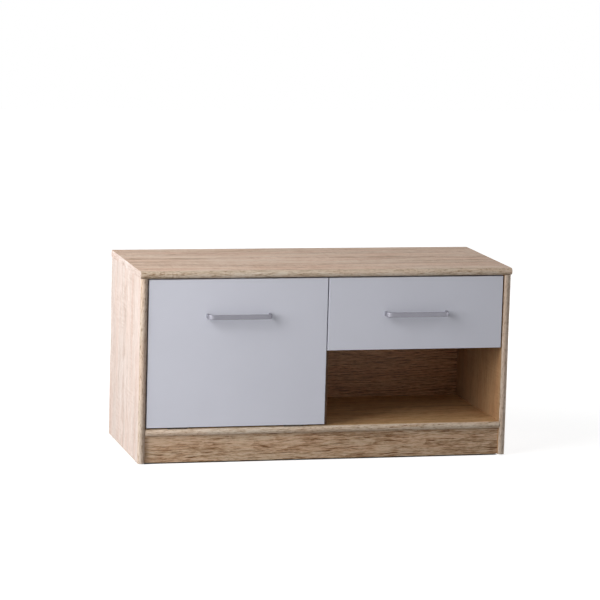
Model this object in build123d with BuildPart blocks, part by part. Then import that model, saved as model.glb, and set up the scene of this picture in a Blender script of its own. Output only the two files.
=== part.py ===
"""Entryway bench: oak-laminate carcass, drop flap on the left, drawer over an open compartment on the right.

Frame: X along the bench to the right, Y towards the back, Z up from the floor, millimetres.
The origin is on the floor, at the centre of the footprint with the handles included.
"""
import os
from collections import namedtuple
from math import cos, floor, radians, sin

from build123d import *

os.makedirs("parts", exist_ok=True)

# Overall size
bench_width = 970.0
bench_depth = 390.0
bench_height = 490.0

# Boards
board = 18.0
front_thickness = 16.0
drawer_board = 16.0
back_thickness = 3.0
drawer_floor = 3.0
board_edge = 0.6

# How the carcass is set out
top_overhang = 1.5
side_setback = 1.0
bottom_setback = 3.0
plinth_setback = 12.0
base_height = 71.0
back_inset = 10.0
groove_depth = 7.0
groove_play = 0.2
groove_end_play = 1.0

# Fronts
front_setback = 6.0
front_gap = 3.0
front_air = 2.0
front_edge = 0.8
drawer_front_height = 186.0

# Handles
handle_pitch = 160.0
handle_projection = 28.0
handle_bar = 6.0
handle_height = 12.0
handle_round = 1.8
handle_bend = 13.0
handle_screw_radius = 2.0
handle_screw_bite = 8.0
handle_screw_head_radius = 4.0
handle_screw_head = 2.4

# Floor glides
glide_height = 3.0
glide_radius = 8.0
glide_pin_radius = 1.2
glide_pin_length = 12.0
glide_edge = 45.0

# Flap hinges
hinge_length = 50.0
hinge_knuckles = 5
hinge_barrel = 3.2
hinge_pin_radius = 0.9
hinge_leaf = 0.8
hinge_leaf_width = 12.0
hinge_leaf_corner = 2.0
hinge_clear = 0.3
hinge_run = 0.06
hinge_inset = 80.0
hinge_axis_back = 2.5

# Flap stay
stay_radius = 130.0
stay_bracket_angle = 79.0
stay_guide_angle = 44.0
stay_open_angle = 90.0
stay_width = 11.0
stay_steel = 2.0
stay_run = 0.3
stay_tail = 7.0
stay_pin_radius = 2.5
stay_plate = 2.0
stay_guide_reach = 9.0
stay_foot = 26.0

# Magnetic catch
catch_width = 30.0
catch_depth = 14.0
catch_height = 13.0
catch_ear = 9.0
catch_ear_thickness = 3.0
catch_corner = 1.5
catch_plate_width = 24.0
catch_plate_height = 11.0
catch_plate_thickness = 1.2
catch_air = 0.4

# Closing bumpers
bumper_radius = 3.0
bumper_thickness = 1.7
bumper_drop = 60.0

# Drawer and its roller runners
drawer_side_height = 120.0
drawer_lift = 20.0
drawer_groove_up = 8.0
drawer_rim = 2.0
runner_space = 12.5
runner_step = 50.0
runner_spare = 3.0
runner_steel = 1.2
runner_track = 10.0
runner_flange_air = 0.8
runner_end = 1.0
runner_slot = 12.0
runner_slot_width = 4.2
runner_slot_places = (0.38, 0.72)
roller_radius = 11.0
roller_width = 6.0
roller_rim = 0.8
roller_run = 0.1
roller_from_end = 14.0
roller_margin = 2.0
rivet_radius = 2.5
rivet_head_radius = 4.0
rivet_head = 0.8

# Dowels
dowel_radius = 4.0
dowel_length = 30.0
dowel_in_face = 11.0
dowel_from_end = 85.0

# Cam fittings
cam_radius = 7.5
cam_depth = 12.5
cam_reach = 24.0
cam_from_end = 45.0
cam_slot_width = 1.6
cam_slot_depth = 2.0
bolt_thread_radius = 2.5
bolt_thread = 11.0
bolt_collar_radius = 3.5
bolt_collar = 3.0
bolt_neck_radius = 1.8
bolt_head_radius = 3.0
bolt_head = 3.0
bolt_bore_radius = 4.0

# Screws and nails
screw_radius = 1.3
screw_length = 11.0
screw_head_radius = 2.4
screw_head = 0.5
wood_screw_radius = 2.2
wood_screw_length = 46.0
wood_screw_head_radius = 4.0
wood_screw_head = 3.0
nail_radius = 0.8
nail_length = 18.0
nail_head_radius = 1.8
nail_head = 0.6
nail_pitch = 130.0

# Fits
press = 0.05
play = 0.1
end_play = 0.5

# Levels and planes that follow from the sizes above
back_y = (bench_depth + handle_projection - front_setback) / 2
nose_y = back_y - bench_depth
face_y = nose_y + front_setback
fronts_back_y = face_y + front_thickness
divider_front_y = fronts_back_y + front_air
back_front_y = back_y - back_inset - back_thickness
plinth_y = nose_y + plinth_setback
plinth_back_y = plinth_y + board
rear_rail_y = back_front_y - board
outer_x = bench_width / 2 - top_overhang
inner_x = outer_x - board
side_mid_x = outer_x - board / 2
divider_x = board / 2
foot_z = glide_height
deck_z = base_height + board
deck_mid_z = base_height + board / 2
lid_z = bench_height - board
plinth_mid_z = (foot_z + base_height) / 2

# The flap stands on its hinge barrels, so their size sets the gap below it
flap_gap = hinge_barrel + 2 * hinge_clear
flap_bottom_z = deck_z + flap_gap
front_top_z = lid_z - front_gap
flap_x0 = front_gap - inner_x
flap_x1 = -front_gap / 2
flap_mid_x = (flap_x0 + flap_x1) / 2
drawer_x0 = front_gap / 2
drawer_x1 = inner_x - front_gap
drawer_mid_x = (drawer_x0 + drawer_x1) / 2
drawer_front_z = front_top_z - drawer_front_height
handle_z = front_top_z - drawer_front_height / 2
hinge_y = face_y + hinge_axis_back
hinge_z = deck_z + flap_gap / 2

# Drawer box, with the longest standard runner that fits in the depth
runner_room = back_front_y - fronts_back_y - runner_spare
runner_length = runner_step * floor(runner_room / runner_step)
drawer_back_y = fronts_back_y + runner_length
drawer_z = drawer_front_z + drawer_lift
drawer_top_z = drawer_z + drawer_side_height
drawer_floor_z = drawer_z + drawer_groove_up
drawer_groove = drawer_floor + groove_play
box_x0 = divider_x + runner_space
box_x1 = inner_x - runner_space
box_inner_x0 = box_x0 + drawer_board
box_inner_x1 = box_x1 - drawer_board
track_z = drawer_z - runner_steel - runner_flange_air
roller_z = track_z + roller_run + roller_radius
flange_z = roller_z + roller_radius + roller_run
cap_z = flange_z + runner_steel + runner_flange_air
cabinet_roller_y = divider_front_y + roller_from_end
drawer_roller_y = drawer_back_y - runner_end - roller_from_end

RIGHT = (1, 0, 0)
LEFT = (-1, 0, 0)
BACK = (0, 1, 0)
FRONT = (0, -1, 0)
UP = (0, 0, 1)
DOWN = (0, 0, -1)

# A fitting between two boards: a point on the joint, the way into the board that meets it edge on,
# and the outward normal of that board's face
Seat = namedtuple("Seat", "point way normal")


def finish(piece, label):
    """Name the piece and write its file."""
    piece.part.label = label
    export_step(piece.part, f"parts/{label}.step")


def facing(points, direction):
    """Planes at the points, each looking along the direction."""
    return [Plane(origin=point, z_dir=direction) for point in points]


def against(seats):
    """Planes on the flat board of each seat, looking into the board that meets it edge on."""
    return [Plane(origin=seat.point, z_dir=seat.way) for seat in seats]


def into(seats):
    """Planes on the edge of each seat's second board, looking out of that edge."""
    return [Plane(origin=seat.point, z_dir=-Vector(*seat.way)) for seat in seats]


def cam_planes(seats, thickness):
    """Planes on the board faces that hold the cams, X towards the bolt and Z out of the face."""
    planes = []
    for seat in seats:
        way = Vector(*seat.way)
        normal = Vector(*seat.normal)
        centre = Vector(*seat.point) + way * cam_reach + normal * (thickness / 2)
        planes.append(Plane(origin=centre, x_dir=-way, z_dir=normal))
    return planes


def board_section(thickness, depth):
    """Board section with a half-round nose at the origin, running back along local Y."""
    half = thickness / 2
    with BuildSketch() as section:
        with BuildLine():
            ThreePointArc((half, half), (0, 0), (-half, half))
            Polyline((-half, half), (-half, depth), (half, depth), (half, half))
        make_face()
    return section.sketch


def lying(x, y, z):
    """Plane for the section of a lying board: it is extruded towards -X."""
    return Plane(origin=(x, y, z), x_dir=UP, z_dir=LEFT)


def turned(outline):
    """Part turned about its own Z axis from (radius, height) points."""
    with BuildPart() as piece:
        with BuildSketch(Plane.XZ):
            with BuildLine():
                Polyline(*outline, close=True)
            make_face()
        revolve(axis=Axis.Z)
    return piece.part


def stepped_screw(radius, length, head_radius, head):
    """Flat-headed screw, its head top at the origin and its shank along -Z."""
    outline = [
        (0, 0),
        (head_radius, 0),
        (head_radius, -head),
        (radius, -head),
        (radius, -head - length + radius),
        (0, -head - length),
    ]
    return turned(outline)


def group(template, planes):
    """One node that holds a copy of the template on every plane."""
    with BuildPart() as pieces:
        with Locations(*planes):
            add(template)
    return pieces


def pair(x, ys, z, way, normal):
    """Seats at the given Y places on one joint."""
    return [Seat((x, y, z), way, normal) for y in ys]


# Where the fittings of the carcass sit
cam_ys = (nose_y + cam_from_end, back_front_y - cam_from_end)
dowel_ys = (nose_y + dowel_from_end, back_front_y - dowel_from_end)
plinth_mid_y = plinth_y + board / 2
rear_rail_mid_y = rear_rail_y + board / 2
plinth_cam_z = foot_z + cam_radius * 2
plinth_dowel_z = base_height - cam_radius * 2

top_cams_left = pair(-side_mid_x, cam_ys, lid_z, DOWN, RIGHT)
top_cams_right = pair(side_mid_x, cam_ys, lid_z, DOWN, LEFT)
top_cams_divider = pair(0, (divider_front_y + cam_from_end, cam_ys[1]), lid_z, DOWN, RIGHT)
deck_cams_left = pair(-inner_x, cam_ys, deck_mid_z, RIGHT, DOWN)
deck_cams_right = pair(inner_x, cam_ys, deck_mid_z, LEFT, DOWN)
plinth_cams_left = pair(-inner_x, (plinth_mid_y,), plinth_cam_z, RIGHT, BACK)
plinth_cams_right = pair(inner_x, (plinth_mid_y,), plinth_cam_z, LEFT, BACK)
rear_cams_left = pair(-inner_x, (rear_rail_mid_y,), plinth_cam_z, RIGHT, FRONT)
rear_cams_right = pair(inner_x, (rear_rail_mid_y,), plinth_cam_z, LEFT, FRONT)
top_cams = top_cams_left + top_cams_right + top_cams_divider
side_cams_left = deck_cams_left + plinth_cams_left + rear_cams_left
side_cams_right = deck_cams_right + plinth_cams_right + rear_cams_right
carcass_cams = top_cams + side_cams_left + side_cams_right

top_dowels_left = pair(-side_mid_x, dowel_ys, lid_z, DOWN, RIGHT)
top_dowels_right = pair(side_mid_x, dowel_ys, lid_z, DOWN, LEFT)
top_dowels_divider = pair(0, (divider_front_y + dowel_from_end, dowel_ys[1]), lid_z, DOWN, RIGHT)
divider_dowels = pair(0, (divider_front_y + dowel_from_end, dowel_ys[1]), deck_z, UP, RIGHT)
deck_dowels_left = pair(-inner_x, dowel_ys, deck_mid_z, RIGHT, DOWN)
deck_dowels_right = pair(inner_x, dowel_ys, deck_mid_z, LEFT, DOWN)
plinth_dowels_left = pair(-inner_x, (plinth_mid_y,), plinth_dowel_z, RIGHT, BACK)
plinth_dowels_right = pair(inner_x, (plinth_mid_y,), plinth_dowel_z, LEFT, BACK)
rear_dowels_left = pair(-inner_x, (rear_rail_mid_y,), plinth_dowel_z, RIGHT, FRONT)
rear_dowels_right = pair(inner_x, (rear_rail_mid_y,), plinth_dowel_z, LEFT, FRONT)
web_dowel_front = pair(0, (plinth_back_y,), plinth_mid_z, BACK, RIGHT)
web_dowel_rear = pair(0, (rear_rail_y,), plinth_mid_z, FRONT, RIGHT)
top_dowels = top_dowels_left + top_dowels_right + top_dowels_divider
side_dowels_left = deck_dowels_left + plinth_dowels_left + rear_dowels_left
side_dowels_right = deck_dowels_right + plinth_dowels_right + rear_dowels_right
web_dowels = web_dowel_front + web_dowel_rear
carcass_dowel_seats = top_dowels + divider_dowels + side_dowels_left + side_dowels_right + web_dowels

dowel_bore = dowel_radius + press
dowel_face_bore = dowel_in_face + end_play
dowel_edge_bore = dowel_length - dowel_in_face + end_play
thread_bore = bolt_thread_radius + press
thread_bore_depth = bolt_thread + end_play
bolt_bore = bolt_bore_radius + play
cam_bore = cam_radius + play
cam_bore_depth = cam_depth + play

# Where the screws and nails of the carcass sit
divider_screw_ys = (divider_front_y + cam_from_end, back_front_y - cam_from_end)
divider_screw_planes = facing([(0, y, base_height) for y in divider_screw_ys], DOWN)
nail_count = floor(inner_x / nail_pitch)
nail_head_y = back_y - back_inset
deck_nails = [(nail_pitch * (i + 0.5), nail_head_y, deck_mid_z) for i in range(-nail_count, nail_count)]
divider_nail_step = (lid_z - deck_z) / 4
divider_nails = [(0, nail_head_y, deck_z + divider_nail_step * i) for i in range(1, 4)]
nail_planes = facing(deck_nails + divider_nails, BACK)
side_glide_ys = (nose_y + glide_edge, back_y - glide_edge)
left_glides = [(-side_mid_x, y, foot_z) for y in side_glide_ys]
right_glides = [(side_mid_x, y, foot_z) for y in side_glide_ys]
web_glides = [(0, y, foot_z) for y in (plinth_back_y + glide_edge, rear_rail_y - glide_edge)]

hinge_xs = (flap_x0 + hinge_inset, flap_x1 - hinge_inset)
hinge_screw_y = hinge_y + hinge_leaf_width * 0.62
hinge_screw_xs = [x + hinge_length * k for x in hinge_xs for k in (-0.36, 0, 0.36)]
base_leaf_screws = [(x, hinge_screw_y, deck_z + hinge_leaf) for x in hinge_screw_xs]
flap_leaf_screws = [(x, hinge_screw_y, flap_bottom_z - hinge_leaf) for x in hinge_screw_xs]

catch_y0 = fronts_back_y + catch_plate_thickness + catch_air
catch_mid_y = catch_y0 + catch_depth / 2
catch_screw_x = (catch_width + catch_ear) / 2
catch_screws = [(flap_mid_x + d * catch_screw_x, catch_mid_y, lid_z - catch_ear_thickness) for d in (-1, 1)]
catch_plate_z = front_top_z - 1 - catch_plate_height / 2
catch_plate_screws = [(flap_mid_x, fronts_back_y + catch_plate_thickness, catch_plate_z)]

# The stay arm turns on the flap and slides through a guide that turns on the divider.
# Both pivots are equally far from the hinge, so each turns by exactly half the flap's angle.
stay_bracket_y = hinge_y + stay_radius * cos(radians(stay_bracket_angle))
stay_bracket_z = hinge_z + stay_radius * sin(radians(stay_bracket_angle))
stay_guide_y = hinge_y + stay_radius * cos(radians(stay_guide_angle))
stay_guide_z = hinge_z + stay_radius * sin(radians(stay_guide_angle))
stay_spread = stay_bracket_angle - stay_guide_angle
stay_open_span = 2 * stay_radius * sin(radians((stay_spread + stay_open_angle) / 2))
stay_length = stay_open_span + stay_guide_reach + stay_tail
stay_way = Vector(0, stay_guide_y - stay_bracket_y, stay_guide_z - stay_bracket_z).normalized()
stay_base_x = -divider_x - stay_plate
stay_hub_x = stay_base_x - stay_run
stay_hub = stay_plate + stay_steel
stay_arm_x = stay_hub_x - stay_hub - stay_run
stay_cover_x = stay_arm_x - stay_steel - stay_run
stay_bracket_x = stay_arm_x - stay_steel - stay_run
stay_base_width = stay_foot / 2
stay_base_screws = [(stay_base_x, stay_guide_y, stay_guide_z + d * stay_foot * 0.8) for d in (-0.5, 0.5)]
stay_foot_x = stay_bracket_x - stay_plate - stay_foot / 2
stay_foot_screws = [(stay_foot_x, fronts_back_y + stay_plate, stay_bracket_z + d) for d in (-6, 6)]

runner_screw_ys = [divider_front_y + runner_length * k for k in (0.2, 0.55, 0.9)]
cabinet_screws_left = [(divider_x + runner_steel, y, roller_z) for y in runner_screw_ys]
cabinet_screws_right = [(inner_x - runner_steel, y, roller_z) for y in runner_screw_ys]
drawer_screw_xs = (box_x0 + drawer_board / 2, box_x1 - drawer_board / 2)
drawer_runner_screws = [(x, y, drawer_z - runner_steel) for x in drawer_screw_xs for y in runner_screw_ys]


def screw_hole(plate):
    """Pilot hole under a plate of this thickness."""
    Hole(screw_radius + play, screw_length + screw_head + end_play - plate)


def screw_seat():
    """Hole with a seat for the head, through a plate."""
    CounterBoreHole(screw_radius + play, screw_head_radius + play, screw_head)


# Top panel
with BuildPart() as top_panel:
    with BuildSketch(lying(bench_width / 2, nose_y, bench_height - board / 2)):
        add(board_section(board, bench_depth))
    extrude(amount=bench_width)
    fillet(top_panel.faces().filter_by(Axis.X).edges(), board_edge)
    with Locations((0, back_front_y + back_thickness / 2, lid_z)):
        groove_length = 2 * (inner_x + groove_depth)
        groove_width = back_thickness + groove_play
        Box(groove_length, groove_width, 2 * groove_depth, mode=Mode.SUBTRACT)
    with Locations(*against(top_cams)):
        Hole(thread_bore, thread_bore_depth)
    with Locations(*against(top_dowels)):
        Hole(dowel_bore, dowel_face_bore)
    with Locations(*facing([(x, y, lid_z) for x, y, z in catch_screws], DOWN)):
        screw_hole(catch_ear_thickness)
finish(top_panel, "top_panel")


def side_panel(mirror, seats, dowels, edge_seats, edge_dowels, glides):
    """Side board; mirror is -1 on the left and 1 on the right."""
    with BuildPart() as panel:
        with BuildSketch(Plane.XY.offset(foot_z)):
            with Locations((mirror * side_mid_x, nose_y + side_setback)):
                add(board_section(board, bench_depth - side_setback))
        extrude(amount=lid_z - foot_z)
        with Locations((mirror * inner_x, back_front_y + back_thickness / 2, (base_height + lid_z) / 2)):
            Box(2 * groove_depth, groove_width, lid_z - base_height, mode=Mode.SUBTRACT)
        with Locations(*against(seats)):
            Hole(thread_bore, thread_bore_depth)
        with Locations(*against(dowels)):
            Hole(dowel_bore, dowel_face_bore)
        with Locations(*into(edge_seats)):
            Hole(bolt_bore, cam_reach)
        with Locations(*cam_planes(edge_seats, board)):
            Hole(cam_bore, cam_bore_depth)
        with Locations(*into(edge_dowels)):
            Hole(dowel_bore, dowel_edge_bore)
        with Locations(*facing(glides, DOWN)):
            Hole(glide_pin_radius + press, glide_pin_length + end_play)
        if mirror > 0:
            with Locations(*facing([(inner_x, y, z) for x, y, z in cabinet_screws_right], LEFT)):
                screw_hole(runner_steel)
    return panel


side_panel_left = side_panel(
    -1, side_cams_left, side_dowels_left, top_cams_left, top_dowels_left, left_glides
)
finish(side_panel_left, "side_panel_left")
side_panel_right = side_panel(
    1, side_cams_right, side_dowels_right, top_cams_right, top_dowels_right, right_glides
)
finish(side_panel_right, "side_panel_right")

# Bottom panel
with BuildPart() as bottom_panel:
    with BuildSketch(lying(inner_x, nose_y + bottom_setback, deck_mid_z)):
        add(board_section(board, back_front_y - nose_y - bottom_setback))
    extrude(amount=2 * inner_x)
    with Locations(*into(deck_cams_left + deck_cams_right)):
        Hole(bolt_bore, cam_reach)
    with Locations(*cam_planes(deck_cams_left + deck_cams_right, board)):
        Hole(cam_bore, cam_bore_depth)
    with Locations(*into(deck_dowels_left + deck_dowels_right)):
        Hole(dowel_bore, dowel_edge_bore)
    with Locations(*against(divider_dowels)):
        Hole(dowel_bore, dowel_face_bore)
    with Locations(*divider_screw_planes):
        CounterBoreHole(wood_screw_radius + play, wood_screw_head_radius + play, wood_screw_head)
    with Locations(*facing([(x, back_front_y, z) for x, y, z in deck_nails], BACK)):
        Hole(nail_radius + press, nail_length)
    with Locations(*facing([(x, y, deck_z) for x, y, z in base_leaf_screws], UP)):
        screw_hole(hinge_leaf)
finish(bottom_panel, "bottom_panel")

# Centre divider, standing behind the two fronts
with BuildPart() as centre_divider:
    with BuildSketch(Plane.XY.offset(deck_z)):
        with Locations((0, (divider_front_y + back_front_y) / 2)):
            Rectangle(board, back_front_y - divider_front_y)
    extrude(amount=lid_z - deck_z)
    fillet(centre_divider.edges().filter_by(Axis.Z).group_by(Axis.Y)[0], board_edge)
    with Locations(*into(top_cams_divider)):
        Hole(bolt_bore, cam_reach)
    with Locations(*cam_planes(top_cams_divider, board)):
        Hole(cam_bore, cam_bore_depth)
    with Locations(*into(top_dowels_divider + divider_dowels)):
        Hole(dowel_bore, dowel_edge_bore)
    with Locations(*facing([(0, y, deck_z) for y in divider_screw_ys], DOWN)):
        Hole(wood_screw_radius + play, wood_screw_length + wood_screw_head + end_play - board)
    with Locations(*facing([(0, back_front_y, z) for x, y, z in divider_nails], BACK)):
        Hole(nail_radius + press, nail_length)
    with Locations(*facing([(divider_x, y, z) for x, y, z in cabinet_screws_left], RIGHT)):
        screw_hole(runner_steel)
    with Locations(*facing([(-divider_x, y, z) for x, y, z in stay_base_screws], LEFT)):
        screw_hole(stay_plate)
finish(centre_divider, "centre_divider")


def plinth_board(y, cams, dowels, web_dowel):
    """Board of the base between the sides."""
    with BuildPart() as plinth:
        with BuildSketch(Plane.XY.offset(foot_z)):
            with Locations((0, y)):
                Rectangle(2 * inner_x, board)
        extrude(amount=base_height - foot_z)
        with Locations(*into(cams)):
            Hole(bolt_bore, cam_reach)
        with Locations(*cam_planes(cams, board)):
            Hole(cam_bore, cam_bore_depth)
        with Locations(*into(dowels)):
            Hole(dowel_bore, dowel_edge_bore)
        with Locations(*against(web_dowel)):
            Hole(dowel_bore, dowel_face_bore)
    return plinth


plinth_front = plinth_board(
    plinth_mid_y,
    plinth_cams_left + plinth_cams_right,
    plinth_dowels_left + plinth_dowels_right,
    web_dowel_front,
)
finish(plinth_front, "plinth_front")
plinth_rear = plinth_board(
    rear_rail_mid_y, rear_cams_left + rear_cams_right, rear_dowels_left + rear_dowels_right, web_dowel_rear
)
finish(plinth_rear, "plinth_rear")

# Web of the base, under the divider
with BuildPart() as plinth_web:
    with BuildSketch(Plane.XY.offset(foot_z)):
        with Locations((0, (plinth_back_y + rear_rail_y) / 2)):
            Rectangle(board, rear_rail_y - plinth_back_y)
    extrude(amount=base_height - foot_z)
    with Locations(*into(web_dowels)):
        Hole(dowel_bore, dowel_edge_bore)
    with Locations(*facing(web_glides, DOWN)):
        Hole(glide_pin_radius + press, glide_pin_length + end_play)
finish(plinth_web, "plinth_web")

# Thin back, in grooves of the sides and top and nailed to the bottom panel and divider
with BuildPart() as back_panel:
    back_half = inner_x + groove_depth - groove_end_play
    back_top = lid_z + groove_depth - groove_end_play
    with BuildSketch(Plane.XZ.offset(-back_front_y)):
        with Locations((0, (base_height + back_top) / 2)):
            Rectangle(2 * back_half, back_top - base_height)
    extrude(amount=-back_thickness)
    with Locations(*nail_planes):
        Hole(nail_radius + press, 2 * back_thickness)
finish(back_panel, "back_panel")

# Fittings of the carcass
glide_outline = [
    (0, -glide_height),
    (glide_radius - 1, -glide_height),
    (glide_radius, 1 - glide_height),
    (glide_radius, 0),
    (glide_pin_radius, 0),
    (glide_pin_radius, glide_pin_length - 2),
    (0, glide_pin_length),
]
glide_planes = [Plane(origin=point) for point in left_glides + right_glides + web_glides]
floor_glides = group(turned(glide_outline), glide_planes)
finish(floor_glides, "floor_glides")

dowel_outline = [
    (0, -dowel_in_face),
    (dowel_radius - 1, -dowel_in_face),
    (dowel_radius, 1 - dowel_in_face),
    (dowel_radius, dowel_length - dowel_in_face - 1),
    (dowel_radius - 1, dowel_length - dowel_in_face),
    (0, dowel_length - dowel_in_face),
]
dowel = turned(dowel_outline)
carcass_dowels = group(dowel, against(carcass_dowel_seats))
finish(carcass_dowels, "carcass_dowels")

bolt_end = cam_reach + bolt_head / 2
bolt_outline = [
    (0, -bolt_thread),
    (bolt_thread_radius - 1, -bolt_thread),
    (bolt_thread_radius, 1 - bolt_thread),
    (bolt_thread_radius, 0),
    (bolt_collar_radius, 0),
    (bolt_collar_radius, bolt_collar),
    (bolt_thread_radius, bolt_collar),
    (bolt_thread_radius, cam_reach - cam_radius),
    (bolt_neck_radius, cam_reach - cam_radius),
    (bolt_neck_radius, bolt_end - bolt_head),
    (bolt_head_radius, bolt_end - bolt_head),
    (bolt_head_radius, bolt_end),
    (0, bolt_end),
]
bolt = turned(bolt_outline)
cam_bolts = group(bolt, against(carcass_cams))
finish(cam_bolts, "cam_bolts")


def cam(thickness):
    """Cam housing for a board of this thickness: a bolt socket to the X side and a cross slot on top."""
    with BuildPart() as housing:
        Cylinder(cam_radius, cam_depth, align=(Align.CENTER, Align.CENTER, Align.MAX))
        with Locations(Plane(origin=(cam_radius, 0, -thickness / 2), z_dir=RIGHT)):
            Hole(bolt_head_radius + play, cam_radius + bolt_head)
        with BuildSketch():
            Rectangle(cam_radius * 1.3, cam_slot_width)
            Rectangle(cam_slot_width, cam_radius * 1.3)
        extrude(amount=-cam_slot_depth, mode=Mode.SUBTRACT)
    return housing.part


cam_locks = group(cam(board), cam_planes(carcass_cams, board))
finish(cam_locks, "cam_locks")

wood_screw = stepped_screw(wood_screw_radius, wood_screw_length, wood_screw_head_radius, wood_screw_head)
divider_screws = group(wood_screw, divider_screw_planes)
finish(divider_screws, "divider_screws")

nail_outline = [
    (0, nail_head),
    (nail_head_radius, nail_head),
    (nail_head_radius, 0),
    (nail_radius, 0),
    (nail_radius, -nail_length + nail_radius),
    (0, -nail_length),
]
back_panel_nails = group(turned(nail_outline), nail_planes)
finish(back_panel_nails, "back_panel_nails")

with BuildPart() as front_bumpers:
    bumper_x = (front_gap / 2 + divider_x) / 2
    bumper_z = lid_z - bumper_drop
    with Locations(*facing([(x, divider_front_y, bumper_z) for x in (-bumper_x, bumper_x)], FRONT)):
        Cylinder(bumper_radius, bumper_thickness, align=(Align.CENTER, Align.CENTER, Align.MIN))
    chamfer(front_bumpers.faces().sort_by(Axis.Y)[:2].edges(), bumper_thickness / 3)
finish(front_bumpers, "front_bumpers")

# Magnetic catch under the top and its plate on the flap
with BuildPart() as magnetic_catch:
    with BuildSketch(Plane.XY.offset(lid_z)):
        with Locations((flap_mid_x, catch_mid_y)):
            RectangleRounded(catch_width, catch_depth, catch_corner)
    extrude(amount=-catch_height)
    with BuildSketch(Plane.XY.offset(lid_z)):
        with Locations((flap_mid_x, catch_mid_y)):
            SlotOverall(catch_width + 2 * catch_ear, catch_depth - 2)
    extrude(amount=-catch_ear_thickness)
    with Locations(*facing(catch_screws, DOWN)):
        screw_seat()
finish(magnetic_catch, "magnetic_catch")

with BuildPart() as catch_plate:
    with BuildSketch(Plane.XZ.offset(-fronts_back_y)):
        with Locations((flap_mid_x, catch_plate_z)):
            RectangleRounded(catch_plate_width, catch_plate_height, 2)
    extrude(amount=-catch_plate_thickness)
    with Locations(*facing(catch_plate_screws, BACK)):
        screw_seat()
finish(catch_plate, "catch_plate")

# Flap hinges: two leaves with interleaved knuckles on one pin
knuckle = hinge_length / hinge_knuckles


def hinge_leaf_part(x, side, first):
    """Hinge leaf about the pin; side is 1 under the flap and -1 on the bottom panel."""
    outside_z = hinge_z + side * flap_gap / 2
    starts = [x - hinge_length / 2 + knuckle * i for i in range(first, hinge_knuckles, 2)]
    strip_y = hinge_y + hinge_barrel / 2 + hinge_clear
    strip_depth = hinge_y + hinge_leaf_width - strip_y
    with BuildPart() as leaf:
        with BuildSketch(Plane.XY.offset(outside_z)):
            with Locations((x, strip_y + strip_depth / 2)):
                Rectangle(hinge_length, strip_depth)
            for start in starts:
                with Locations((start + knuckle / 2, (hinge_y + strip_y) / 2)):
                    Rectangle(knuckle - hinge_clear, strip_y - hinge_y)
        extrude(amount=-side * hinge_leaf)
        fillet(leaf.edges().filter_by(Axis.Z).group_by(Axis.Y)[-1], hinge_leaf_corner)
        for start in starts:
            with BuildSketch(Plane.YZ.offset(start + hinge_clear / 2)):
                with Locations((hinge_y, hinge_z)):
                    Circle(hinge_barrel / 2)
            extrude(amount=knuckle - hinge_clear)
        with Locations(Plane(origin=(x, hinge_y, hinge_z), z_dir=RIGHT)):
            Cylinder(hinge_pin_radius + hinge_run, 2 * hinge_length, mode=Mode.SUBTRACT)
        seats = flap_leaf_screws if side > 0 else base_leaf_screws
        own_seats = [seat for seat in seats if abs(seat[0] - x) < hinge_length / 2]
        with Locations(*facing(own_seats, DOWN if side > 0 else UP)):
            screw_seat()
    return leaf


for hinge_x, hand in zip(hinge_xs, ("left", "right")):
    finish(hinge_leaf_part(hinge_x, -1, 0), f"hinge_leaf_base_{hand}")
    finish(hinge_leaf_part(hinge_x, 1, 1), f"hinge_leaf_flap_{hand}")

with BuildPart() as hinge_pins:
    with Locations(*facing([(x, hinge_y, hinge_z) for x in hinge_xs], RIGHT)):
        Cylinder(hinge_pin_radius, hinge_length - hinge_clear)
finish(hinge_pins, "hinge_pins")


def bow_handle(x):
    """Bow handle bent from a flat bar, with a threaded hole in each leg."""
    half = handle_pitch / 2
    bar_y = face_y - handle_projection + handle_bar / 2
    with BuildPart() as handle:
        with BuildLine() as path:
            FilletPolyline(
                (x - half, face_y, handle_z),
                (x - half, bar_y, handle_z),
                (x + half, bar_y, handle_z),
                (x + half, face_y, handle_z),
                radius=handle_bend,
            )
        with BuildSketch(Plane(origin=(x - half, face_y, handle_z), x_dir=RIGHT, z_dir=FRONT)):
            RectangleRounded(handle_bar, handle_height, handle_round)
        sweep(path=path.wires()[0])
        with Locations(*facing([(x - half, face_y, handle_z), (x + half, face_y, handle_z)], BACK)):
            Hole(handle_screw_radius + press, handle_screw_bite + end_play)
    return handle


def handle_screw_planes(x):
    """Places of the two handle screws, on the back of a front."""
    half = handle_pitch / 2
    return facing([(x - half, fronts_back_y, handle_z), (x + half, fronts_back_y, handle_z)], BACK)


handle_screw_outline = [
    (0, handle_screw_head),
    (handle_screw_head_radius - 1, handle_screw_head),
    (handle_screw_head_radius, handle_screw_head / 2),
    (handle_screw_head_radius, 0),
    (handle_screw_radius, 0),
    (handle_screw_radius, -front_thickness - handle_screw_bite),
    (0, -front_thickness - handle_screw_bite),
]
handle_screw = turned(handle_screw_outline)
for handle_x, owner in ((flap_mid_x, "flap"), (drawer_mid_x, "drawer")):
    finish(bow_handle(handle_x), f"{owner}_handle")
    finish(group(handle_screw, handle_screw_planes(handle_x)), f"{owner}_handle_screws")

# Flap
with BuildPart() as flap_panel:
    with BuildSketch(Plane.XZ.offset(-face_y)):
        with Locations((flap_mid_x, (flap_bottom_z + front_top_z) / 2)):
            Rectangle(flap_x1 - flap_x0, front_top_z - flap_bottom_z)
    extrude(amount=-front_thickness)
    fillet(flap_panel.faces().sort_by(Axis.Y)[0].edges(), front_edge)
    with Locations(*handle_screw_planes(flap_mid_x)):
        Hole(handle_screw_radius + play, 2 * front_thickness)
    with Locations(*facing([(x, y, flap_bottom_z) for x, y, z in flap_leaf_screws], DOWN)):
        screw_hole(hinge_leaf)
    with Locations(*facing([(x, fronts_back_y, z) for x, y, z in catch_plate_screws], BACK)):
        screw_hole(catch_plate_thickness)
    with Locations(*facing([(x, fronts_back_y, z) for x, y, z in stay_foot_screws], BACK)):
        screw_hole(stay_plate)
finish(flap_panel, "flap_panel")

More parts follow.
